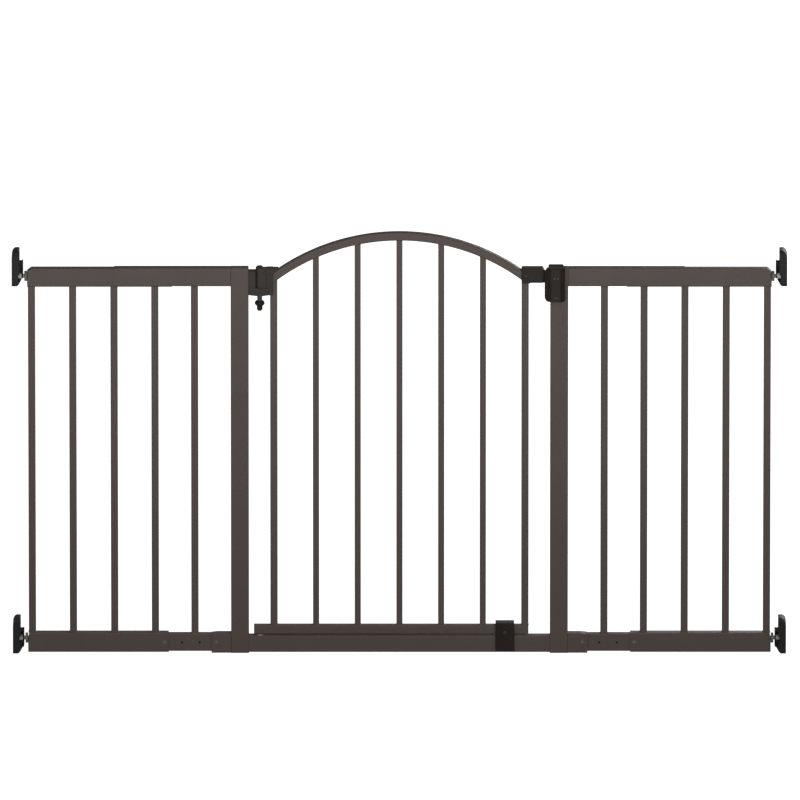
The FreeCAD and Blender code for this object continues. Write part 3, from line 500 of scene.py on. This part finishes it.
# --- cross-slotted screws -------------------------------------------------------------------------
# node: (way the head faces, -1 for the front; its height and the shank's radius in millimetres)
SCREWS = {
    "socket_screws": (-1, 2.2, 2.0),
    "left_panel_lock_screw": (-1, 2.2, 2.0),
    "right_panel_lock_screw": (-1, 2.2, 2.0),
    "latch_arm_screw": (-1, 2.0, 1.7),
    "stop_clip_screw": (-1, 1.8, 1.7),
    "handle_screws": (1, 1.4, 1.5),
}
SLOT_DEPTH = 0.75               # of the head's height
HEAD_SPOKES = 72
HEAD_HOOPS = 22


def cross_recess(x, y, radius):
    """How deep the cross slot is at a point of the head, as a fraction of its full depth."""
    def slot(across, along):
        wall = min(1.0, max(0.0, (0.17 * radius - abs(across)) / (0.06 * radius)))
        end = min(1.0, max(0.0, (0.58 * radius - abs(along)) / (0.12 * radius)))
        return wall * end
    return max(slot(x, y), slot(y, x))


def screw_head(bm, centre, face_y, way, radius, height, shank, shank_r):
    """A domed head on face_y with a cross slot, and its plain shank; way is -1 if it faces the front."""
    depth = SLOT_DEPTH * height
    crown = (radius ** 2 + height ** 2) / (2 * height)
    tip = bm.verts.new((centre.x, face_y + way * (height - depth), centre.z))
    rings = []
    for hoop in range(1, HEAD_HOOPS + 1):
        r = radius * hoop / HEAD_HOOPS
        ring = []
        for spoke in range(HEAD_SPOKES):
            turn = 2 * math.pi * spoke / HEAD_SPOKES
            x, z = r * math.cos(turn), r * math.sin(turn)
            dome = math.sqrt(crown ** 2 - r ** 2) - (crown - height)
            rise = max(dome - depth * cross_recess(x, z, radius), 0.0)
            ring.append(bm.verts.new((centre.x + x, face_y + way * rise, centre.z + z)))
        rings.append(ring)
    for i in range(HEAD_SPOKES):
        bm.faces.new((tip, rings[0][i], rings[0][(i + 1) % HEAD_SPOKES]))
    for back in (0.0, shank):
        ring = []
        for spoke in range(HEAD_SPOKES):
            turn = 2 * math.pi * spoke / HEAD_SPOKES
            ring.append(bm.verts.new((centre.x + shank_r * math.cos(turn), face_y - way * back,
                                      centre.z + shank_r * math.sin(turn))))
        rings.append(ring)
    for a, b in zip(rings, rings[1:]):
        bridge(bm, a, b)
    bm.faces.new(rings[-1])


def screws_in(node):
    """The box of each separate solid of a CAD node, from its mesh's loose parts."""
    bm = bmesh.new()
    bm.from_mesh(NODES[node].data)
    bmesh.ops.remove_doubles(bm, verts=bm.verts, dist=1e-6)
    seen = set()
    boxes = []
    for start in bm.verts:
        if start in seen:
            continue
        seen.add(start)
        queue = [start]
        for vert in queue:
            for edge in vert.link_edges:
                other = edge.other_vert(vert)
                if other not in seen:
                    seen.add(other)
                    queue.append(other)
        lo = Vector([min(v.co[i] for v in queue) for i in range(3)])
        hi = Vector([max(v.co[i] for v in queue) for i in range(3)])
        boxes.append((lo, hi))
    bm.free()
    return boxes


def all_heads(bm, node):
    way, height, shank_r = SCREWS[node]
    height *= MM
    for lo, hi in screws_in(node):
        head_r = (hi.x - lo.x) / 2
        face_y = lo.y + height if way < 0 else hi.y - height
        shank = hi.y - face_y if way < 0 else face_y - lo.y
        screw_head(bm, (lo + hi) / 2, face_y, way, head_r, height, shank, shank_r * MM)


def make_screws():
    for node in SCREWS:
        new_piece(f"{node}_cross_slotted", lambda bm, n=node: all_heads(bm, n),
                  SLOT_OF[node], replaces=(node,))


# --- latch details --------------------------------------------------------------------------------
FACE_MIDDLE = 24.5 * MM         # from the handle's left side to the middle of its front face
WINDOW_AWAY = 3.2 * MM          # from that middle to each window's own middle
WINDOW_HALF = 1.4 * MM
WINDOW_Z = (49.6 * MM, 52.9 * MM)
TAB_HALF = 3.8 * MM
TAB_Z = (7.2 * MM, 9.8 * MM)
MARK_BACK = 1.2 * MM            # how far behind the front face the marks' backs lie
MARK_EDGE = 0.2 * MM
RIBS = 7
RIB_HALF = 0.6 * MM
RIB_MARGIN = 5 * MM             # from the button's sides to the outer ribs
RIB_INSET = 2.6 * MM            # from the button's front and back to the ribs' ends


def pillow(bm, lo, hi, soft):
    """A box with rounded edges."""
    made = bmesh.ops.create_cube(bm, size=1.0)
    for vert in made["verts"]:
        vert.co = Vector([lo[i] if vert.co[i] < 0 else hi[i] for i in range(3)])
    edges = list({edge for vert in made["verts"] for edge in vert.link_edges})
    bmesh.ops.bevel(bm, geom=edges, offset=soft, segments=3, profile=0.5, affect="EDGES")


def make_latch_details():
    """Indicators behind the handle's windows, a tab in its lower slot and ribs on the thumb button."""
    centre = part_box("handle_back_shell")[0].x + FACE_MIDDLE
    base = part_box("handle_front_shell")[0].z
    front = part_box("handle_front_shell")[0].y

    def indicators(bm):
        for side in (-1, 1):
            x = centre + side * WINDOW_AWAY
            pillow(bm, (x - WINDOW_HALF, front + 0.1 * MM, base + WINDOW_Z[0]),
                   (x + WINDOW_HALF, front + MARK_BACK, base + WINDOW_Z[1]), MARK_EDGE)

    def release_tab(bm):
        pillow(bm, (centre - TAB_HALF, front + 0.3 * MM, base + TAB_Z[0]),
               (centre + TAB_HALF, front + MARK_BACK, base + TAB_Z[1]), MARK_EDGE)

    def ribs(bm):
        lo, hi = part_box("thumb_button")
        for i in range(RIBS):
            x = lo.x + RIB_MARGIN + (hi.x - lo.x - 2 * RIB_MARGIN) * i / (RIBS - 1)
            pillow(bm, (x - RIB_HALF, lo.y + RIB_INSET, hi.z - 0.4 * MM),
                   (x + RIB_HALF, hi.y - RIB_INSET, hi.z + 0.5 * MM), 0.25 * MM)

    new_piece("handle_indicators", indicators, "indicator", BODY_OF["handle_front_shell"])
    new_piece("handle_release_tab", release_tab, "dark_screw", BODY_OF["handle_front_shell"])
    new_piece("thumb_button_ribs", ribs, SLOT_OF["thumb_button"], BODY_OF["thumb_button"])


make_camera()
make_stage()
make_lights()
dress_frame()
weld_the_bars()
make_spindles()
make_screws()
make_latch_details()
